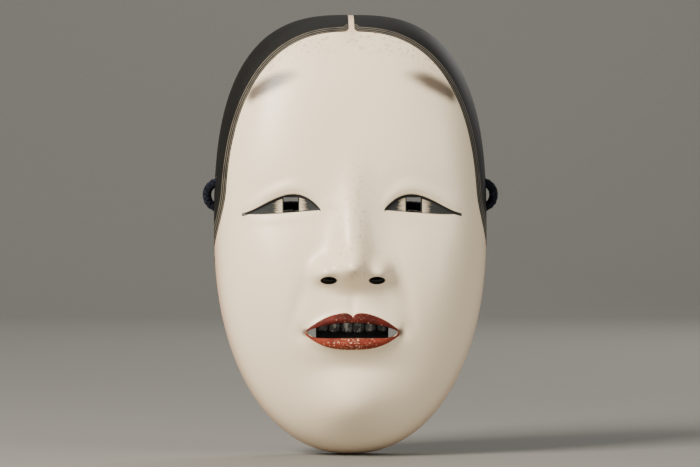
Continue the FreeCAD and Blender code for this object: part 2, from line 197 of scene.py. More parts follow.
def surface(across, up, polar, sizes, carve, offset):
    """Points of the dome moved outward by offset along their own normals."""
    step = 1e-4
    angle = np.arctan2(up, across)
    point = polar_point(across, up, polar, sizes, carve)
    ahead = polar_point(np.cos(angle + step), np.sin(angle + step), polar, sizes, carve)
    back = polar_point(np.cos(angle - step), np.sin(angle - step), polar, sizes, carve)
    out = polar_point(across, up, polar + step, sizes, carve)
    into = polar_point(across, up, polar - step, sizes, carve)
    normal = np.cross(out - into, ahead - back)
    size = np.linalg.norm(normal, axis=-1, keepdims=True)
    forward = [0.0, -1.0, 0.0]
    normal = np.where(size > 1e-16, normal / np.maximum(size, 1e-16), forward)
    normal = np.where((np.abs(polar) < 1e-6)[..., None], forward, normal)
    moved = point + normal * offset
    rim = np.abs(polar - math.pi / 2.0) < 1e-9
    moved[..., 1] = np.where(rim, 0.0, moved[..., 1])
    return moved, normal


def from_front(x, z, sizes, carve, offset):
    """The same for places given by how they look from the front."""
    half_wide, half_tall, _ = sizes
    across, up = x / half_wide, z / half_tall
    share = np.clip(outline_share(across, up), 1e-6, 1.0 - 1e-9)
    size = np.hypot(across, up) + 1e-12
    return surface(across / size, up / size, polar_of(share), sizes, carve, offset)


def from_side(side, y, z, sizes):
    """Points of the wall given by depth and height, near the rim where the wall is plain."""
    half_wide, half_tall, depth = sizes
    power = outline_power(z)
    front = np.clip(-y / depth, 0.0, 1.0)
    share = (1.0 - front**SQUARENESS) ** (1.0 / SQUARENESS)
    across = np.clip(share**power - np.abs(z / half_tall) ** power, 1e-6, 1.0)
    return np.stack([side * half_wide * across ** (1.0 / power), y, z], -1)


# ---------------------------------------------------------------- openings, as distances
def box_gap(x, z, centre_x, centre_z, half_x, half_z):
    dx, dz = np.abs(x - centre_x) - half_x, np.abs(z - centre_z) - half_z
    return np.hypot(np.maximum(dx, 0.0), np.maximum(dz, 0.0)) + np.minimum(np.maximum(dx, dz), 0.0)


def oval_gap(x, z, centre_x, centre_z, half_x, half_z):
    away = np.hypot((x - centre_x) / half_x, (z - centre_z) / half_z)
    return (away - 1.0) * min(half_x, half_z) * 1.2


def slot_gap(x, z):
    return np.maximum.reduce([z - slot_top(x), slot_bottom(x) - z, np.abs(x) - MOUTH_HALF])


def front_gap(x, z, inside=False):
    """Distance to the nearest opening that goes back through the face."""
    far = np.abs(x)
    nostril = NOSTRIL_INSIDE if inside else NOSTRIL
    gaps = [box_gap(far, z, *PUPIL), oval_gap(far, z, *nostril), slot_gap(x, z)]
    return np.minimum.reduce(gaps)


def side_gap(y, z):
    """Distance to the cord hole or to the relief in the rim."""
    hole = np.hypot(y + HOLE_DEPTH, z - HOLE_HEIGHT) - HOLE_RADIUS
    straight = NOTCH_DEEP - NOTCH_RADIUS
    notch = np.hypot(np.minimum(y + straight, 0.0), z - NOTCH_HEIGHT) - NOTCH_RADIUS
    return np.minimum(hole, notch)


def to_edge(a, b, gap):
    """Places a, b moved onto the line where gap is nothing."""
    step = 1e-3
    for _ in range(4):
        value = gap(a, b)
        da = (gap(a + step, b) - gap(a - step, b)) / (2.0 * step)
        db = (gap(a, b + step) - gap(a, b - step)) / (2.0 * step)
        size = np.maximum(da * da + db * db, 0.05)
        a, b = a - value * da / size, b - value * db / size
    return a, b


# ---------------------------------------------------------------- meshes
def spread(count, focus):
    """Places from -1 to 1, closer together about the middle."""
    t = np.linspace(-1.0, 1.0, count)
    return t * (focus + (1.0 - focus) * t * t)


def cell_size(base):
    """The longest side of the cells round each point of a grid."""
    cell = np.zeros(base.shape[:2])
    for axis in (0, 1):
        gap = np.linalg.norm(np.diff(base, axis=axis), axis=-1)
        first = np.concatenate([gap, np.take(gap, [-1], axis)], axis)
        last = np.concatenate([np.take(gap, [0], axis), gap], axis)
        cell = np.maximum(cell, np.maximum(first, last))
    return cell


def cut_openings(base, point, normal, sizes, carve, offset, inside=False):
    """Moves grid points onto the openings' outlines: -1 in an opening, 0 on its edge, 1 outside."""
    cell = cell_size(base)
    x, y, z = base[..., 0], base[..., 1], base[..., 2]
    beside = (np.abs(x) > SIDE_FROM) & (y > -SIDE_DEPTH)
    ahead = (np.abs(x) < SIDE_FROM) & (y < -FRONT_DEPTH)
    gap = np.full(x.shape, FAR_FROM_GAP)
    gap[ahead] = front_gap(x[ahead], z[ahead], inside)
    gap[beside] = side_gap(y[beside], z[beside])
    sign = np.where(gap < 0.0, -1, 1)
    on_edge = np.abs(gap) < ON_EDGE * cell
    pick = on_edge & ahead
    if pick.any():
        px, pz = to_edge(x[pick], z[pick], lambda a, b: front_gap(a, b, inside))
        point[pick], normal[pick] = from_front(px, pz, sizes, carve, offset)
    pick = on_edge & beside & (y < -1e-6)
    if pick.any():
        py, pz = to_edge(y[pick], z[pick], side_gap)
        moved = from_side(np.sign(x[pick]), np.minimum(py, 0.0), pz, sizes)
        point[pick] = moved + normal[pick] * offset
    sign[on_edge] = 0
    return sign


def grid_faces(sign):
    """The cells of a grid that have something outside an opening, cut back to their kept corners."""
    index = np.arange(sign.size).reshape(sign.shape)
    corners = [index[:-1, :-1], index[1:, :-1], index[1:, 1:], index[:-1, 1:]]
    corners = np.stack([c.ravel() for c in corners], -1)
    signs = sign.ravel()[corners]
    keep = (signs > 0).any(axis=1)
    faces = corners[keep & (signs >= 0).all(axis=1)].tolist()
    crossed = keep & (signs < 0).any(axis=1)
    for face, marks in zip(corners[crossed], signs[crossed]):
        left = [int(c) for c, m in zip(face, marks) if m >= 0]
        if len(left) >= 3:
            faces.append(left)
    return faces


def shell(across_count, up_count, sizes, carve, inside=False, focus=0.7):
    """A dome skin with its openings: points, normals and faces."""
    u, v = np.meshgrid(spread(across_count, focus), spread(up_count, focus), indexing="ij")
    across, up = u * np.sqrt(1.0 - v * v / 2.0), v * np.sqrt(1.0 - u * u / 2.0)
    r = np.hypot(across, up)
    safe = np.maximum(r, 1e-9)
    polar = r * math.pi / 2.0
    flat = np.where(r < 1e-9, 1.0, across / safe), np.where(r < 1e-9, 0.0, up / safe)
    base, normal = surface(*flat, polar, sizes, carve, 0.0)
    point = base.copy()
    sign = cut_openings(base, point, normal, sizes, carve, 0.0, inside)
    return point.reshape(-1, 3), normal.reshape(-1, 3), grid_faces(sign)


def loose_edges(faces):
    """Directed edges that belong to one face only."""
    seen = {edge: True for face in faces for edge in zip(face, face[1:] + face[:1])}
    return [(a, b) for a, b in seen if (b, a) not in seen]


def thicken(points, normals, faces, thick):
    """Adds a turned-in edge of the given thickness along every loose edge."""
    edges = loose_edges(faces)
    ends = sorted({i for edge in edges for i in edge})
    twin = {old: len(points) + k for k, old in enumerate(ends)}
    inner = points[ends] - normals[ends] * thick
    inner[:, 1] = np.where(np.abs(points[ends][:, 1]) < 1e-6, 0.0, inner[:, 1])
    walls = [[b, a, twin[a], twin[b]] for a, b in edges]
    return np.concatenate([points, inner]), faces + walls


def facing_out(points, normals, faces):
    """The faces, turned over if they look against the normals."""
    votes = 0.0
    for face in faces[:: max(1, len(faces) // 200)]:
        a, b, c = points[face[0]], points[face[1]], points[face[2]]
        votes += np.sign(np.dot(np.cross(b - a, c - a), normals[face[0]]))
    return faces if votes > 0.0 else [face[::-1] for face in faces]


def add_mesh(name, points, faces, marks=None):
    """A smooth mesh object from points in millimetres, with named numbers on its points."""
    used = np.unique(np.concatenate([np.array(f) for f in faces]))
    order = np.full(len(points), -1)
    order[used] = np.arange(len(used))
    mesh = bpy.data.meshes.new(name)
    mesh.from_pydata((points[used] * MM).tolist(), [], [order[f].tolist() for f in faces])
    mesh.update()
    mesh.polygons.foreach_set("use_smooth", [True] * len(mesh.polygons))
    for mark, values in (marks or {}).items():
        layer = mesh.attributes.new(mark, "FLOAT", "POINT")
        layer.data.foreach_set("value", np.asarray(values, dtype=np.float32)[used])
    obj = bpy.data.objects.new(name, mesh)
    bpy.context.scene.collection.objects.link(obj)
    return obj


def finish_piece(obj, nodes, material):
    """Gives a piece its material and its place on the mask, and hides the CAD nodes that it stands for."""
    obj.data.materials.append(material)
    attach(obj, "root")
    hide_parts(*nodes)
    return obj


def sharpen(obj, degrees):
    """Marks edges sharper than an angle, so that shading breaks there."""
    obj.data.set_sharp_from_angle(angle=math.radians(degrees))


# ---------------------------------------------------------------- material nodes
INK = (0.008, 0.008, 0.008)


def new_material(name, roughness, specular=0.5):
    """An empty material: its node tree and its main shader."""
    material = bpy.data.materials.new(name)
    material.use_nodes = True
    shader = material.node_tree.nodes["Principled BSDF"]
    shader.inputs["Roughness"].default_value = roughness
    shader.inputs["Specular IOR Level"].default_value = specular
    return material, material.node_tree, shader


def add(tree, kind, inputs=(), **settings):
    """A new node; each input is a value or a socket to link."""
    node = tree.nodes.new(kind)
    for key, value in settings.items():
        setattr(node, key, value)
    for key, value in dict(inputs).items():
        if isinstance(value, bpy.types.NodeSocket):
            tree.links.new(value, node.inputs[key])
        else:
            node.inputs[key].default_value = value
    return node


def calc(tree, operation, a, b=0.0, c=0.0):
    """One step of arithmetic on numbers and sockets."""
    return add(tree, "ShaderNodeMath", {0: a, 1: b, 2: c}, operation=operation).outputs[0]


def product(tree, *values):
    result = values[0]
    for value in values[1:]:
        result = calc(tree, "MULTIPLY", result, value)
    return result


def rise(tree, value, low, high):
    """0 to 1 between low and high, or 1 to 0 where high comes first."""
    inputs = {"Value": value, "From Min": low, "From Max": high}
    return add(tree, "ShaderNodeMapRange", inputs, interpolation_type="SMOOTHSTEP").outputs[0]


def mix(tree, share, a, b):
    """Colour a where share is 0 and colour b where it is 1."""
    pair = [c if isinstance(c, bpy.types.NodeSocket) else (*c, 1.0) for c in (a, b)]
    return add(tree, "ShaderNodeMix", {0: share, 6: pair[0], 7: pair[1]}, data_type="RGBA").outputs[2]


def mix_value(tree, share, low, high):
    """Low where share is 0 and high where it is 1."""
    inputs = {"Value": share, "To Min": low, "To Max": high}
    return add(tree, "ShaderNodeMapRange", inputs).outputs[0]


def mark(tree, name):
    """A number that a mesh carries on its points."""
    return add(tree, "ShaderNodeAttribute", attribute_name=name).outputs["Fac"]


def place(tree, scale=(1.0, 1.0, 1.0)):
    """Object coordinates in metres, stretched by a scale for each axis."""
    where = add(tree, "ShaderNodeTexCoord").outputs["Object"]
    return add(tree, "ShaderNodeMapping", {"Vector": where, "Scale": scale}).outputs[0]


def noise(tree, where, scale, detail=3.0, rough=0.55):
    inputs = {"Vector": where, "Scale": scale, "Detail": detail, "Roughness": rough}
    return add(tree, "ShaderNodeTexNoise", inputs).outputs[0]


def bumped(tree, shader, height, distance, strength=1.0, under=None):
    """Raises the surface by height times distance, in millimetres."""
    inputs = {"Height": height, "Distance": distance * MM, "Strength": strength}
    if under is not None:
        inputs["Normal"] = under
    normal = add(tree, "ShaderNodeBump", inputs).outputs[0]
    tree.links.new(normal, shader.inputs["Normal"])
    return normal


def use(tree, shader, **sockets):
    """Links sockets to the shader's inputs, with _ for each space in a name."""
    for key, socket in sockets.items():
        tree.links.new(socket, shader.inputs[key.replace("_", " ")])


def painted_eyes(tree, base):
    """The black lid lines, the dark corners, the pale ground beside each pupil and a painted shade along
    the crease above each lid.
    """
    lid, under, span = mark(tree, "lid"), mark(tree, "under"), mark(tree, "span")
    beside = mark(tree, "beside")
    along = product(tree, rise(tree, span, 0.0, 0.012), rise(tree, span, 1.0, 0.985))
    opening = product(tree, rise(tree, lid, 0.05, -0.25), rise(tree, under, -0.15, 0.15), along)
    streak = noise(tree, place(tree, (0.25, 1.0, 2.6)), 900.0, 2.0, 0.6)
    ragged = calc(tree, "MULTIPLY_ADD", streak, 7.0, -3.5)
    outer = rise(tree, calc(tree, "ADD", beside, ragged), 8.4, 4.6)
    inner = rise(tree, calc(tree, "ADD", beside, ragged), -7.8, -4.6)
    pale = product(tree, outer, inner)
    dim = mix(tree, streak, (0.005, 0.006, 0.006), (0.022, 0.024, 0.023))
    cream = mix(tree, streak, (0.42, 0.34, 0.22), (0.66, 0.56, 0.40))
    within = mix(tree, pale, dim, cream)
    painted = mix(tree, opening, base, within)
    beside_hole = product(tree, rise(tree, mark(tree, "hole"), 0.65, 0.25), opening)
    painted = mix(tree, beside_hole, painted, INK)
    upper = product(tree, rise(tree, lid, -1.5, -1.15), rise(tree, lid, 0.3, 0.0))
    lower = product(tree, rise(tree, under, -0.42, -0.12), rise(tree, under, 0.42, 0.12))
    painted = mix(tree, product(tree, lower, along, 0.85), painted, (0.02, 0.019, 0.018))
    painted = mix(tree, product(tree, upper, along), painted, INK)
    # Painted shade: a faint brown line along the crease above each upper lid.
    fold = product(tree, rise(tree, lid, 1.6, 2.1), rise(tree, lid, 2.7, 2.2), along, 0.2)
    return mix(tree, fold, painted, (0.40, 0.30, 0.20)), opening


def shell_white():
    """Polished shell-white paint over the whole face, with the painted eyes and brows."""
    material, tree, shader = new_material("gofun", 0.4)
    broad = noise(tree, place(tree), 22.0, 3.0)
    fine = noise(tree, place(tree, (1.0, 1.0, 0.16)), 900.0, 3.0, 0.6)
    base = mix(tree, broad, (0.88, 0.725, 0.495), (0.915, 0.78, 0.56))
    base = mix(tree, rise(tree, fine, 0.35, 0.75), base, (0.89, 0.74, 0.52))
    base = mix(tree, product(tree, mark(tree, "rim"), 0.8), base, (0.62, 0.39, 0.24))
    clump = rise(tree, noise(tree, place(tree), 110.0, 3.0, 0.7), 0.34, 0.56)
    spots = rise(tree, noise(tree, place(tree), 520.0, 4.0, 0.75), 0.53, 0.64)
    base = mix(tree, product(tree, spots, clump, mark(tree, "freckle"), 0.8), base, (0.46, 0.27, 0.14))
    # Painted shade: the mouth's recessed corners are darkened almost to black.
    corner_shade = product(tree, mark(tree, "corner"), 0.85)
    base = mix(tree, corner_shade, base, (0.06, 0.028, 0.018))
    hair = noise(tree, place(tree, (0.3, 1.0, 2.4)), 420.0, 2.0, 0.5)
    brow = product(tree, mark(tree, "brow"), rise(tree, hair, -0.9, 0.6))
    base = mix(tree, product(tree, rise(tree, brow, 0.03, 0.95), 0.95), base, (0.085, 0.060, 0.041))
    colour, opening = painted_eyes(tree, base)
    hole = mark(tree, "hole")
    colour = mix(tree, product(tree, rise(tree, hole, 0.32, 0.0), mark(tree, "dark")), colour, INK)
    rough = calc(tree, "MULTIPLY_ADD", broad, 0.16, 0.30)
    rough = calc(tree, "MULTIPLY_ADD", opening, 0.45, rough)
    use(tree, shader, Base_Color=colour, Roughness=rough)
    low = bumped(tree, shader, fine, 0.02)
    bumped(tree, shader, noise(tree, place(tree), 90.0, 3.0), 0.10, 1.0, low)
    return material


def hair_black():
    """Matt black ink with fine pale strands drawn along the hairline."""
    material, tree, shader = new_material("hair_ink", 0.5, 0.2)
    grain = noise(tree, place(tree), 1500.0, 3.0, 0.6)
    broad = noise(tree, place(tree), 120.0, 2.0)
    base = mix(tree, rise(tree, grain, 0.3, 0.8), (0.003, 0.003, 0.0025), (0.014, 0.0135, 0.012))
    inward = mark(tree, "inward")
    wobble = calc(tree, "MULTIPLY_ADD", noise(tree, place(tree), 60.0, 1.0), 0.3, -0.15)
    away = calc(tree, "ADD", inward, wobble)
    turn = calc(tree, "FRACT", calc(tree, "DIVIDE", away, 0.85))
    line = product(tree, rise(tree, turn, 0.42, 0.58), rise(tree, turn, 0.9, 0.74))
    reach = product(tree, rise(tree, away, 0.3, 0.5), rise(tree, away, 2.6, 2.5))
    faint = rise(tree, broad, 0.25, 0.6)
    strand = product(tree, line, reach, calc(tree, "MULTIPLY_ADD", faint, 0.5, 0.5))
    base = mix(tree, strand, base, (0.17, 0.148, 0.11))
    worn = product(tree, rise(tree, mark(tree, "edge"), 0.8, 0.0), rise(tree, grain, 0.5, 0.7), 0.5)
    base = mix(tree, worn, base, (0.20, 0.13, 0.08))
    use(tree, shader, Base_Color=base, Roughness=mix_value(tree, grain, 0.5, 0.75))
    bumped(tree, shader, grain, 0.05)
    return material


def lip_red(name, deep, light, worn_share):
    """Red lip paint with rubbed specks where the white shows through."""
    material, tree, shader = new_material(name, 0.42, 0.2)
    cloud = noise(tree, place(tree, (0.6, 1.0, 1.0)), 260.0, 4.0, 0.6)
    base = mix(tree, rise(tree, cloud, 0.3, 0.7), deep, light)
    speck = noise(tree, place(tree, (0.75, 1.0, 1.0)), 1150.0, 3.0, 0.6)
    rubbed = calc(tree, "MULTIPLY_ADD", mark(tree, "wear"), worn_share, speck)
    worn = rise(tree, rubbed, 0.66, 0.76)
    base = mix(tree, worn, base, (0.66, 0.38, 0.24))
    fade = rise(tree, mark(tree, "border"), 0.7, 0.0)
    base = mix(tree, product(tree, fade, 0.55), base, (0.42, 0.17, 0.09))
    use(tree, shader, Base_Color=base, Roughness=mix_value(tree, speck, 0.6, 0.8))
    bumped(tree, shader, speck, 0.05)
    return material


def tooth_black():
    """Blue-black lacquered teeth, with a painted highlight across the middle of each tooth's face and a
    painted shade on the sill behind them.
    """
    material, tree, shader = new_material("tooth_black", 0.22)
    cloud = noise(tree, place(tree, (1.0, 1.0, 0.5)), 420.0, 4.0, 0.65)
    base = mix(tree, rise(tree, cloud, 0.35, 0.7), (0.008, 0.011, 0.013), (0.028, 0.036, 0.040))
    # Painted highlight: the middle of each tooth's face is lightened to a pale grey.
    tooth_highlight = product(tree, mark(tree, "tooth_highlight"), rise(tree, cloud, 0.42, 0.66))
    base = mix(tree, tooth_highlight, base, (0.42, 0.43, 0.36))
    # Painted shade: the sill behind the teeth is near-black, standing for the dark seen through the middle
    # of the mouth.
    deep = mark(tree, "deep")
    base = mix(tree, deep, base, (0.001, 0.001, 0.001))
    rough = calc(tree, "MULTIPLY_ADD", deep, 0.6, mix_value(tree, cloud, 0.14, 0.42))
    use(tree, shader, Base_Color=base, Roughness=rough)
    bumped(tree, shader, cloud, 0.12)
    return material


def bare_cypress():
    """Bare end and side grain at the rim, and ink on the walls of the openings in front."""
    material, tree, shader = new_material("cypress", 0.62, 0.35)
    inputs = {
        "Vector": place(tree, (1.0, 0.05, 0.06)),
        "Scale": 190.0,
        "Distortion": 2.4,
        "Detail": 2.0,
        "Detail Scale": 1.4,
    }
    rings = add(tree, "ShaderNodeTexWave", inputs, bands_direction="X").outputs["Fac"]
    fibre = noise(tree, place(tree, (1.0, 0.18, 1.0)), 1400.0, 3.0, 0.6)
    base = mix(tree, rings, (0.52, 0.34, 0.18), (0.36, 0.20, 0.09))
    base = mix(tree, rise(tree, fibre, 0.35, 0.75), base, (0.58, 0.40, 0.23))
    depth = add(tree, "ShaderNodeSeparateXYZ", {0: place(tree)}).outputs["Y"]
    base = mix(tree, rise(tree, depth, -0.022, -0.027), base, INK)
    use(tree, shader, Base_Color=base, Roughness=mix_value(tree, fibre, 0.5, 0.75))
    bumped(tree, shader, fibre, 0.05)
    return material


def hollow_lacquer():
    """Dark brown lacquer over the chisel-marked hollow."""
    material, tree, shader = new_material("back_lacquer", 0.3)
    cloud = noise(tree, place(tree), 45.0, 4.0, 0.6)
    fine = noise(tree, place(tree), 700.0, 3.0, 0.6)
    base = mix(tree, rise(tree, cloud, 0.3, 0.75), (0.030, 0.014, 0.008), (0.075, 0.033, 0.016))
    crest = product(tree, rise(tree, mark(tree, "crest"), 0.72, 1.0), rise(tree, fine, 0.4, 0.7), 0.55)
    base = mix(tree, crest, base, (0.15, 0.075, 0.035))
    use(tree, shader, Base_Color=base, Roughness=mix_value(tree, fine, 0.22, 0.42))
    bumped(tree, shader, fine, 0.03)
    return material


def navy_braid():
    """Dark navy silk braid, with painted shade where the strands dip under one another and painted sheen in
    lighter blue flecks where a strand lies on top.
    """
    material, tree, shader = new_material("navy_braid", 0.75, 0.15)
    thread = mark(tree, "thread")
    twist = calc(tree, "FRACT", calc(tree, "MULTIPLY", thread, 5.0))
    ply = product(tree, rise(tree, twist, 0.0, 0.4), rise(tree, twist, 1.0, 0.6))
    top = mark(tree, "top")
    fleck = rise(tree, noise(tree, place(tree), 520.0, 2.0), 0.45, 0.65)
    # Painted shade: the braid darkens where its strands dip under one another.
    base = mix(tree, rise(tree, top, 0.25, 0.95), (0.001, 0.0012, 0.003), (0.0045, 0.0058, 0.0145))
    # Painted sheen: lighter blue flecks on the crests of the strands lying on top.
    base = mix(tree, product(tree, ply, rise(tree, top, 0.4, 0.9), fleck, 0.6), base, (0.030, 0.042, 0.088))
    shader.inputs["Sheen Weight"].default_value = 0.04
    shader.inputs["Sheen Roughness"].default_value = 0.4
    use(tree, shader, Base_Color=base, Roughness=mix_value(tree, ply, 0.62, 0.85))
    bumped(tree, shader, ply, 0.12)
    return material


def bound_thread():
    """Fine dark thread wound tightly side by side, with painted shade between the turns."""
    material, tree, shader = new_material("tie_thread", 0.7, 0.3)
    turn = mark(tree, "thread")
    fibre = noise(tree, place(tree), 1800.0, 2.0)
    # Painted shade: darker in the grooves between the turns, lighter on their crests.
    base = mix(tree, rise(tree, turn, 0.15, 0.9), (0.004, 0.004, 0.009), (0.030, 0.036, 0.075))
    base = mix(tree, rise(tree, fibre, 0.55, 0.8), base, (0.06, 0.07, 0.12))
    use(tree, shader, Base_Color=base, Roughness=mix_value(tree, fibre, 0.6, 0.85))
    bumped(tree, shader, fibre, 0.04)
    return material


# ---------------------------------------------------------------- painted and carved pieces
HAIRLINE_TALL, HAIRLINE_WIDE = 97.3, 60.5
HAIR_END = -14.0
PARTING_HALF = 1.3


def hairline_height(x):
    """Height of the hairline over the forehead, lifted where it meets the parting."""
    crown = HAIRLINE_TALL * (1.0 - (x / HAIRLINE_WIDE) ** 2.5) ** 0.4
    return crown + 1.5 * np.clip(1.0 - (x - PARTING_HALF) / 2.2, 0.0, 1.0) ** 2


def hairline_width(z):
    """Half-width of the bare face beside the brow and the cheeks."""
    t = np.clip(z / HAIRLINE_TALL, 0.0, 1.0)
    return HAIRLINE_WIDE * (1.0 - t**2.5) ** 0.4 + 6.4 * smooth(22.0, -15.0, z)


def hairline(count):
    """Evenly spaced places along the right-hand hairline, from the parting down to the cheek."""
    turn = 40.0
    x = np.linspace(PARTING_HALF, turn, 400)
    z = np.linspace(hairline_height(turn), HAIR_END, 500)[1:]
    line = np.stack([np.append(x, hairline_width(z)), np.append(hairline_height(x), z)], -1)
    along = np.append(0.0, np.cumsum(np.linalg.norm(np.diff(line, axis=0), axis=1)))
    even = np.linspace(0.0, along[-1], count)
    return np.stack([np.interp(even, along, line[:, k]) for k in (0, 1)], -1)


def nearest(x, z, line):
    """Distance from places to the nearest point of a line."""
    away = []
    for part in np.array_split(np.stack([x.ravel(), z.ravel()], -1), 40):
        away.append(np.linalg.norm(line[None] - part[:, None], axis=-1).min(axis=1))
    return np.concatenate(away).reshape(x.shape)


def brow_mask(x, z):
    """A soft slanting smudge above each eye, denser towards its lower edge."""
    far = np.abs(x)
    t = (far - 21.0) / 30.0
    middle = 76.8 - 1.5 * t - 10.5 * t**2
    wide = np.clip(5.6 - 6.0 * (t - 0.6) ** 2, 2.5, 5.6)
    across = np.exp(-(((z - middle) / wide) ** 2) * 1.4)
    return across * smooth(-0.12, 0.6, t) * smooth(1.08, 0.85, t)


def face_piece(material):
    """The white coat over the front and the sides, marked for what is painted on it."""
    points, normals, faces = shell(400, 560, OUTER, relief)
    faces = facing_out(points, normals, faces)
    points, faces = thicken(points, normals, faces, GROUND + 0.05)
    x, y, z = points.T
    far = np.abs(x)
    away = nearest(far, z, hairline(700))
    forehead = smooth(16.0, 3.0, away) * smooth(70.0, 84.0, z) * smooth(52.0, 34.0, far)
    ridge = bump(x, z, 0.0, 8.0, 8.0, 22.0) * 0.85 + bump(x, z, 0.0, -14.0, 9.0, 8.0) * 0.6
    cheeks = smooth(-29.0, -9.0, y) * smooth(45.0, 20.0, z)
    parting = 0.7 * np.exp(-((x / 3.5) ** 2)) * smooth(91.0, 98.0, z)
    marks = {
        "lid": z - lid_top(x),
        "under": z - lid_bottom(x),
        "span": eye_span(x),
        "beside": far - PUPIL[0],
        "brow": brow_mask(x, z),
        "rim": np.maximum(cheeks, parting),
        "freckle": np.clip(forehead + ridge, 0.0, 1.0),
        # painted shade in the mouth's corners
        "corner": np.clip(1.6 * bump(far, z, 22.2, -46.0, 1.7, 1.6), 0.0, 1.0),
        "hole": np.where(y < -FRONT_DEPTH, front_gap(x, z), FAR_FROM_GAP),
        "dark": smooth(-40.0, -36.0, z),
    }
    obj = add_mesh("gofun_face", points, faces, marks)
    sharpen(obj, 50.0)
    return finish_piece(obj, ["ground_coat"], material)


def hair_piece(name, side, material):
    """Painted hair from the hairline back to the rim, standing a little proud of the white."""
    count, rows = 300, 64
    line = hairline(count)
    across, up = side * line[:, 0] / HALF_WIDE, line[:, 1] / HALF_TALL
    first = polar_of(np.clip(outline_share(across, up), 0.0, 1.0 - 1e-7))[:, None]
    polar = first + (math.pi / 2.0 - first) * np.linspace(0.0, 1.0, rows)[None] ** 1.25
    polar[:, -1] = math.pi / 2.0
    size = np.hypot(across, up)
    flat = [np.repeat((a / size)[:, None], rows, axis=1) for a in (across, up)]
    base, _ = surface(*flat, polar, OUTER, relief, 0.0)
    point, normal = surface(*flat, polar, OUTER, relief, HAIR)
    sign = cut_openings(base, point, normal, OUTER, relief, HAIR)
    points, normals = point.reshape(-1, 3), normal.reshape(-1, 3)
    faces = facing_out(points, normals, grid_faces(sign))
    points, faces = thicken(points, normals, faces, HAIR + 0.1)
    x, y, z = points.T
    marks = {"inward": nearest(np.abs(x), z, hairline(1400)), "edge": -y}
    obj = add_mesh(name, points, faces, marks)
    return finish_piece(obj, [name.replace("_ink", "")], material)


OVERLAP = 0.18
# how the paint rolls into the mouth: how far back and how far past its edge
LIP_ROLL = [(0.35, 0.10), (1.0, 0.16), (2.2, 0.2), (4.2, 0.2)]


def lip_piece(name, node, outer_line, inner_line, half, material):
    """Red paint between two lines across the mouth, rolled in where it meets the opening."""
    across, rows = 181, 20
    x = half * np.sin(np.linspace(-1.0, 1.0, across) * math.pi / 2.0)
    share = np.linspace(0.0, 1.0, rows) ** 0.9
    outer, inner = outer_line(x), inner_line(x)
    toward = np.sign(inner[across // 2] - outer[across // 2])
    inner = inner + toward * OVERLAP
    z = outer[:, None] + (inner - outer)[:, None] * share[None]
    wide = np.repeat(x[:, None], rows, axis=1)
    point, normal = from_front(wide, z, OUTER, relief, LIPS)
    sunk, _ = from_front(wide, z, OUTER, relief, -0.1)
    point[:, 0] = sunk[:, 0]
    rolled = [point[:, -1:] + np.array([0.0, back, toward * past]) for back, past in LIP_ROLL]
    point = np.concatenate([point, *rolled], axis=1)
    normal = np.concatenate([normal] + [normal[:, -1:]] * len(LIP_ROLL), axis=1)
    points, normals = point.reshape(-1, 3), normal.reshape(-1, 3)
    faces = facing_out(points, normals, grid_faces(np.ones(point.shape[:2], dtype=int)))
    border = np.minimum(np.abs(inner - outer)[:, None] * share[None], (half - np.abs(x))[:, None])
    border = np.concatenate([border, np.full((across, len(LIP_ROLL)), FAR_FROM_GAP)], axis=1)
    wear = np.exp(-((points[:, 0] / 13.0) ** 2))
    obj = add_mesh(name, points, faces, {"border": border.ravel(), "wear": wear})
    return finish_piece(obj, [node], material)


TEETH_HALF, TOOTH_PITCH = 17.2, 5.7
TEETH_TOP, TEETH_MIDDLE, TEETH_BOTTOM = -39.4, -44.0, -46.4
TEETH_RECESS, SILL_RECESS = 5.0, 9.5


def tooth_section(x, off_middle):
    """The outline across the teeth and the sill, as depths and heights, and how much of it is teeth."""
    face = dome(x, np.full(x.shape, TEETH_MIDDLE), OUTER, relief)
    front = TEETH_RECESS - face + 1.1 * off_middle**3.5
    recess = SILL_RECESS - face
    back = 0.6 - dome(x, np.full(x.shape, TEETH_MIDDLE - 1.0), INNER, hollow_relief)
    bottom = TEETH_BOTTOM + 0.05 * np.abs(x) + 0.8 * off_middle**4
    sill = slot_bottom(x) - 0.5
    top = np.full(x.shape, TEETH_TOP)
    section = []
    for down in np.linspace(0.0, 1.0, 12):
        lean = -0.35 * math.sin(down * math.pi)
        section.append((front + lean, top + (bottom + 0.8 - top) * down))
    for turn in np.linspace(0.0, math.pi / 2.0, 6)[1:]:
        section.append((front + 0.8 * (1.0 - math.cos(turn)), bottom + 0.8 * (1.0 - math.sin(turn))))
    showing = len(section)
    section += [(front + 3.0, bottom + 0.1), (recess, bottom - 0.2), (recess, (bottom + sill) / 2.0)]
    section += [(recess, sill), (back, sill), (back, (sill + top) / 2.0), (back, top)]
    return section, showing


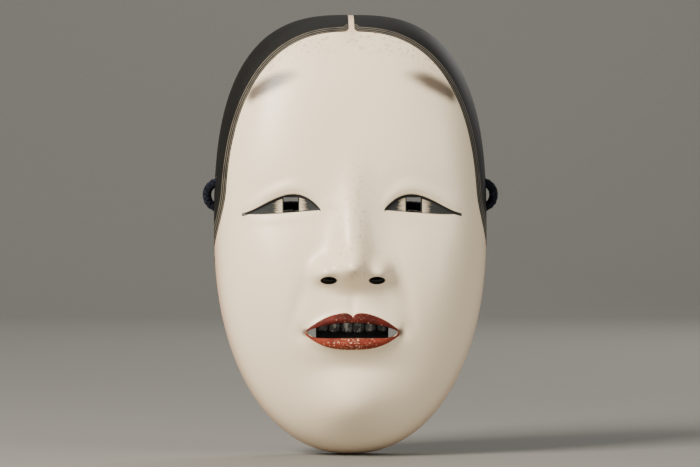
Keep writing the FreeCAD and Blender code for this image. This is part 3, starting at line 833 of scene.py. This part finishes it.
def teeth_piece(material):
    """Upper teeth side by side, rounded below, on a sill coloured near-black as painted shade that closes
    the middle of the mouth.
    """
    across = 261
    x = np.linspace(-TEETH_HALF, TEETH_HALF, across)
    off_middle = 2.0 * np.abs((np.abs(x) / TOOTH_PITCH) % 1.0 - 0.5)
    section, showing = tooth_section(x, off_middle)
    count = len(section)
    rings = np.stack([np.stack([x, y, z], -1) for y, z in section], axis=1)
    points = rings.reshape(-1, 3)
    faces = []
    for i in range(across - 1):
        for k in range(count):
            n = (k + 1) % count
            faces.append([i * count + k, i * count + n, (i + 1) * count + n, (i + 1) * count + k])
    faces.append(list(range(count))[::-1])
    faces.append([(across - 1) * count + k for k in range(count)])
    normals = np.tile([0.0, -1.0, 0.0], (len(points), 1))
    front_only = [f for f in faces[: count * 4] if all(p % count < 12 for p in f)]
    if facing_out(points, normals, front_only) != front_only:
        faces = [face[::-1] for face in faces]
    # where the painted highlight lies: across the middle of each tooth's face
    middle = np.exp(-((off_middle / 0.55) ** 2) - (x / 13.0) ** 2)[:, None]
    tooth_highlight = middle * (np.arange(count) < showing)[None]
    # the sill behind the teeth, which carries the painted shade
    deep = np.ones(across)[:, None] * (np.arange(count) > showing)[None]
    obj = add_mesh("black_teeth", points, faces, {"tooth_highlight": tooth_highlight.ravel(), "deep": deep.ravel()})
    sharpen(obj, 60.0)
    return finish_piece(obj, ["teeth_row"], material)


def chisel(x, z):
    """Shallow scoops left by a round chisel, in staggered rows: 0 in a scoop, 1 on a ridge."""
    row = z / 9.0 + 0.35 * np.sin(x / 17.0) + 0.2 * np.sin(z / 23.0 + x / 31.0)
    lane = x / 5.2 + 0.5 * (np.floor(row) % 2.0) + 0.3 * np.sin(z / 19.0)
    across = np.abs(2.0 * (lane % 1.0) - 1.0)
    along = np.abs(2.0 * (row % 1.0) - 1.0)
    return np.clip(np.maximum(across**2, along**3.0), 0.0, 1.0)


def lacquer_piece(material):
    """The lacquered hollow, scooped by the chisel, open at the pupils, nostrils and mouth."""
    points, normals, faces = shell(260, 400, INNER, hollow_relief, inside=True, focus=0.85)
    x, y, z = points.T
    ridge = chisel(x, z)
    depth = np.where(y < -0.01, 0.15 + 0.4 * ridge * smooth(-0.5, -4.0, y), 0.15)
    scooped = points - normals * depth[:, None]
    scooped[:, 1] = np.where(y > -1e-6, 0.0, scooped[:, 1])
    faces = facing_out(scooped, -normals, faces)
    scooped, faces = thicken(scooped, -normals, faces, 0.5)
    crest = np.append(ridge, np.zeros(len(scooped) - len(ridge)))
    obj = add_mesh("hollow_lacquer", scooped, faces, {"crest": crest})
    return finish_piece(obj, ["back_lacquer"], material)


# ---------------------------------------------------------------- cords
# the right-hand cord, from its hole to the top of its coil
ROUTE = [
    (55.84, -HOLE_DEPTH, HOLE_HEIGHT),
    (69.4, -12.0, 26.8),
    (69.6, -4.0, 11.8),
    (43.6, -4.0, 12.9),
]
COIL = (28.1, -6.2, -10.9)
COIL_MIDDLE = 22.8
LAYER = CORD / 2.0
TURN_STEP = 18.0
# how the cord winds: degrees turned, distance from the coil's middle, layer
TURNS = [
    (0.0, 25.0, LAYER),
    (300.0, 25.0, LAYER),
    (345.0, 25.0, -LAYER),
    (600.0, 25.0, -LAYER),
    (645.0, 20.6, -LAYER),
    (900.0, 20.6, -LAYER),
    (945.0, 20.6, LAYER),
    (1070.0, 20.6, LAYER),
    (1142.0, 17.2, LAYER),
]
END_INSET = 15.2
KNOT = (51.8, -HOLE_DEPTH, HOLE_HEIGHT)
KNOT_LONG, KNOT_RADIUS = 4.6, 4.0
BRAID_PITCH = 9.6


def cord_points(side):
    """The route's points, the turns of the coil and the short end inside it, in millimetres."""
    points = [(side * x, y, z) for x, y, z in ROUTE]
    centre_x, centre_y, centre_z = COIL
    angles, radii, layers = zip(*TURNS)
    outward = 1.0 / (0.5 + 0.5 * math.cos(math.radians(TURN_STEP / 2.0)) ** 2)
    for step in range(int(angles[-1] / TURN_STEP) + 1):
        angle = step * TURN_STEP
        radius = outward * np.interp(angle, angles, radii)
        x = centre_x - radius * math.sin(math.radians(angle))
        z = centre_z + radius * math.cos(math.radians(angle))
        points.append((side * x, centre_y + np.interp(angle, angles, layers), z))
    for height in (3.0, -1.0):
        points.append((side * (centre_x - END_INSET), centre_y + LAYER, centre_z + height))
    return points


def cord_line(side):
    """Evenly spaced points of the cord's spline, in millimetres, and its length."""
    points = cord_points(side)
    curve = bpy.data.curves.new("cord_line", "CURVE")
    curve.dimensions = "3D"
    spline = curve.splines.new("NURBS")
    spline.points.add(len(points) - 1)
    for item, point in zip(spline.points, points):
        item.co = (*[v * MM for v in point], 1.0)
    spline.order_u = 3
    spline.use_endpoint_u = True
    spline.resolution_u = 12
    holder = bpy.data.objects.new("cord_line", curve)
    mesh = bpy.data.meshes.new_from_object(holder)
    raw = np.array([v.co[:] for v in mesh.vertices]) / MM
    bpy.data.objects.remove(holder)
    bpy.data.meshes.remove(mesh)
    along = np.append(0.0, np.cumsum(np.linalg.norm(np.diff(raw, axis=0), axis=1)))
    even = np.linspace(0.0, along[-1], int(along[-1] / 0.45))
    return np.stack([np.interp(even, along, raw[:, k]) for k in range(3)], -1), along[-1]


def full_turn(count):
    """Evenly spaced angles round a circle."""
    return np.linspace(0.0, 2.0 * math.pi, count, endpoint=False)


def frames_along(line):
    """Two crossways directions at each point of a line, turned as little as possible."""
    ahead = np.gradient(line, axis=0)
    ahead /= np.linalg.norm(ahead, axis=1, keepdims=True)
    first = np.cross(ahead[0], [0.0, 0.0, 1.0] if abs(ahead[0][2]) < 0.9 else [1.0, 0.0, 0.0])
    rights = [first / np.linalg.norm(first)]
    for way in ahead[1:]:
        right = rights[-1] - way * np.dot(rights[-1], way)
        rights.append(right / np.linalg.norm(right))
    rights = np.array(rights)
    return rights, np.cross(ahead, rights)


def braid(along, angle, pitch, strands=4):
    """A round braid of two crossing sets of strands: its height, its threads and what lies on top."""
    phase = 2.0 * math.pi * along / pitch
    u = strands * (angle + phase) / (2.0 * math.pi)
    v = strands * (angle - phase) / (2.0 * math.pi)
    weave = np.sin(math.pi * u) * np.sin(math.pi * v)
    a = np.abs(np.sin(math.pi * u)) ** 0.7 * (0.72 + 0.28 * weave)
    b = np.abs(np.sin(math.pi * v)) ** 0.7 * (0.72 - 0.28 * weave)
    return np.maximum(a, b), np.where(a > b, v, u)


def tube(name, line, radius, heights, marks):
    """A tube along a line whose radius is given for each point and angle, with closed ends."""
    rights, ups = frames_along(line)
    count, around = heights.shape
    angle = full_turn(around)[None, :, None]
    spoke = rights[:, None] * np.cos(angle) + ups[:, None] * np.sin(angle)
    points = line[:, None] + spoke * (radius + heights)[..., None]
    index = np.arange(count * around).reshape(count, around)
    after = np.roll(index, -1, axis=1)
    faces = np.stack([index[:-1], after[:-1], after[1:], index[1:]], -1).reshape(-1, 4).tolist()
    faces += [index[0][::-1].tolist(), index[-1].tolist()]
    return add_mesh(name, points.reshape(-1, 3), faces, {k: v.ravel() for k, v in marks.items()})


def braided_cord(name, side):
    """The cord as one braided tube: its object, its line and its length."""
    line, length = cord_line(side)
    along = np.linspace(0.0, length, len(line))[:, None]
    height, thread = braid(along, full_turn(28)[None], BRAID_PITCH)
    marks = {"top": height, "thread": thread}
    obj = tube(name, line, CORD / 2.0 - 0.5, 0.55 * height, marks)
    return obj, line, length


def knot_piece(name, side, material):
    """A round stopper knot, its strands crossing like the cord's."""
    pitch = 12.0
    polar = np.linspace(0.02, math.pi - 0.02, 48)[:, None]
    line = np.array([side * KNOT[0], *KNOT[1:]]) - np.cos(polar) * [side * KNOT_LONG, 0.0, 0.0]
    height, thread = braid(polar / math.pi * pitch, full_turn(72)[None], pitch, 6)
    swell = 0.6 * height * np.sin(polar) ** 0.5
    marks = {"top": height, "thread": thread}
    obj = tube(name, line, KNOT_RADIUS * np.sin(polar), swell, marks)
    return finish_piece(obj, [name], material)


def tie_piece(name, side, material):
    """Thread wound side by side round the lowest part of the coil."""
    turns, around, steps = 7, 96, 84
    angle = full_turn(around)
    square = (np.abs(np.cos(angle)) ** 5 + np.abs(np.sin(angle)) ** 5) ** -0.2
    along = np.linspace(-2.0, 2.0, steps)
    centre = np.array([side * COIL[0], COIL[1], COIL[2] - COIL_MIDDLE])
    round_top = np.abs(np.sin(math.pi * turns * (along + 2.0) / 4.0)) ** 0.6
    outer = 5.05 * square[None] + 0.5 * round_top[:, None]
    reach = np.concatenate([outer, 4.5 * square[None] * np.ones((2, around))])
    shift = np.concatenate([along, [2.0, -2.0]])
    points = np.stack([
        np.repeat(shift[:, None], around, axis=1),
        reach * np.cos(angle)[None],
        reach * np.sin(angle)[None],
    ], -1) + centre
    index = np.arange(len(shift) * around).reshape(len(shift), around)
    after, down = np.roll(index, -1, axis=1), np.roll(index, -1, axis=0)
    faces = np.stack([index, down, np.roll(after, -1, axis=0), after], -1).reshape(-1, 4).tolist()
    thread = np.concatenate([round_top, [0.0, 0.0]])[:, None] * np.ones(around)[None]
    obj = add_mesh(name, points.reshape(-1, 3), faces, {"thread": thread.ravel()})
    return finish_piece(obj, [name], material)


def tip_piece(name, side, material):
    """The cord's end bound with thread, closed by a small dome."""
    around, steps, turns = 48, 120, 11
    top, end = -7.6, 0.2
    dome_turn = np.linspace(0.1, 1.5, 10)
    height = np.concatenate([np.linspace(top, end, steps), end + 0.8 * np.sin(dome_turn)])
    taper = np.concatenate([np.ones(steps), np.cos(dome_turn)])
    line = np.full((len(height), 3), [side * (COIL[0] - END_INSET), COIL[1] + LAYER, COIL[2]])
    line[:, 2] -= height
    ridge = np.abs(np.sin(math.pi * turns * (height - top) / (end - top))) ** 0.6 * (height < end)
    thread = ridge[:, None] * np.ones(around)[None]
    obj = tube(name, line, (2.3 * taper)[:, None], 0.3 * thread, {"thread": thread})
    return finish_piece(obj, [name], material)


def cord_set(name, side, braid_material, thread_material):
    """One cord with its knot, its tie and its bound end."""
    cord, line, length = braided_cord("braid_" + name, side)
    finish_piece(cord, ["cord_" + name, "cord_coil_" + name], braid_material)
    knot = knot_piece("cord_knot_" + name, side, braid_material)
    tie = tie_piece("cord_tie_" + name, side, thread_material)
    tip = tip_piece("cord_tip_" + name, side, thread_material)


# ---------------------------------------------------------------- camera, stage and lights
AZIMUTH, ELEVATION = math.radians(1.4), math.radians(0.3)
DISTANCE, VIEW_WIDE, SENSOR = 1.75, 0.341, 36.0
FLOOR_Z, BACKDROP_Y, BACKDROP_RADIUS = -HALF_TALL * MM, 3.6, 1.3
MIDDLE = (0.0, -0.02, 0.0)
# name, place, target, width, height, watts, colour
LIGHTS = [
    ("key", (-0.95, -0.95, 0.80), MIDDLE, 0.55, 0.75, 60.0, (1.0, 0.935, 0.85)),
    ("fill", (1.05, -0.80, 0.10), MIDDLE, 0.35, 0.9, 10.0, (1.0, 0.97, 0.93)),
    ("low", (-0.2, -1.5, -0.02), MIDDLE, 0.8, 0.3, 3.0, (1.0, 0.97, 0.92)),
    ("top", (-0.1, 0.35, 1.3), MIDDLE, 0.7, 0.5, 3.0, (1.0, 0.99, 0.97)),
    ("back", (1.1, 1.5, 0.9), MIDDLE, 0.8, 0.8, 14.0, (1.0, 0.98, 0.95)),
    ("sweep", (0.0, 1.4, 2.4), (0.0, 3.6, 0.6), 2.0, 0.8, 60.0, (1.0, 0.98, 0.95)),
]


def aim(obj, target):
    """Turns a camera or a light to look at a place."""
    way = Vector(target) - obj.location
    obj.rotation_euler = way.to_track_quat("-Z", "Y").to_euler()


def add_camera():
    """A long-lens camera almost straight in front, a little to the left."""
    lens = bpy.data.cameras.new("camera")
    lens.sensor_width = SENSOR
    camera = bpy.data.objects.new("camera", lens)
    bpy.context.scene.collection.objects.link(camera)
    target = Vector((0.0, 0.0, 0.0005))
    camera.location = target + DISTANCE * Vector((
        -math.sin(AZIMUTH) * math.cos(ELEVATION),
        -math.cos(AZIMUTH) * math.cos(ELEVATION),
        math.sin(ELEVATION),
    ))
    aim(camera, target)
    lens.lens = SENSOR * DISTANCE / VIEW_WIDE
    lens.clip_start = 0.05
    bpy.context.scene.camera = camera


def add_light(name, place_at, target, wide, tall, watts, colour):
    """A soft rectangular light."""
    lamp = bpy.data.lights.new(name, "AREA")
    lamp.shape = "RECTANGLE"
    lamp.size, lamp.size_y = wide, tall
    lamp.energy = watts
    lamp.color = colour
    obj = bpy.data.objects.new(name, lamp)
    obj.location = place_at
    bpy.context.scene.collection.objects.link(obj)
    aim(obj, target)


def add_stage():
    """A grey sweep: a floor that curves up into a backdrop."""
    bend_y = BACKDROP_Y - BACKDROP_RADIUS
    section = [(-4.0, 0.0), (bend_y, 0.0)]
    for turn in np.linspace(0.0, math.pi / 2.0, 14)[1:]:
        forward, up = math.sin(turn), 1.0 - math.cos(turn)
        section.append((bend_y + BACKDROP_RADIUS * forward, BACKDROP_RADIUS * up))
    section.append((BACKDROP_Y, 4.5))
    points = [(x, y, z + FLOOR_Z) for x in (-5.0, 5.0) for y, z in section]
    count = len(section)
    faces = [[k, k + count, k + count + 1, k + 1] for k in range(count - 1)]
    obj = add_mesh("sweep", np.array(points) / MM, faces)
    material, tree, shader = new_material("paper_grey", 0.85, 0.2)
    grain = noise(tree, place(tree), 240.0, 3.0)
    use(tree, shader, Base_Color=mix(tree, grain, (0.195, 0.19, 0.172), (0.215, 0.21, 0.19)))
    obj.data.materials.append(material)


def add_world():
    """A faint even light from all round."""
    world = bpy.data.worlds.new("studio")
    world.use_nodes = True
    background = world.node_tree.nodes["Background"]
    background.inputs["Color"].default_value = (0.95, 0.97, 1.0, 1.0)
    background.inputs["Strength"].default_value = 0.10
    bpy.context.scene.world = world


add_camera()
braid_material, thread_material = navy_braid(), bound_thread()
cord_set("left", -1, braid_material, thread_material)
cord_set("right", 1, braid_material, thread_material)
face_piece(shell_white())
hair_material = hair_black()
hair_piece("hair_left_ink", -1, hair_material)
hair_piece("hair_right_ink", 1, hair_material)
upper_red = lip_red("lip_upper_red", (0.045, 0.005, 0.003), (0.105, 0.011, 0.006), 0.05)
lower_red = lip_red("lip_lower_red", (0.12, 0.014, 0.007), (0.24, 0.036, 0.016), 0.14)
lip_piece("upper_lip_paint", "lip_upper", bow, slot_top, 22.1, upper_red)
lip_piece("lower_lip_paint", "lip_lower", lower_edge, slot_bottom, 22.2, lower_red)
teeth_piece(tooth_black())
lacquer_piece(hollow_lacquer())
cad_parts["mask_body"].material_slots[0].material = bare_cypress()

add_stage()
add_world()
for light in LIGHTS:
    add_light(*light)
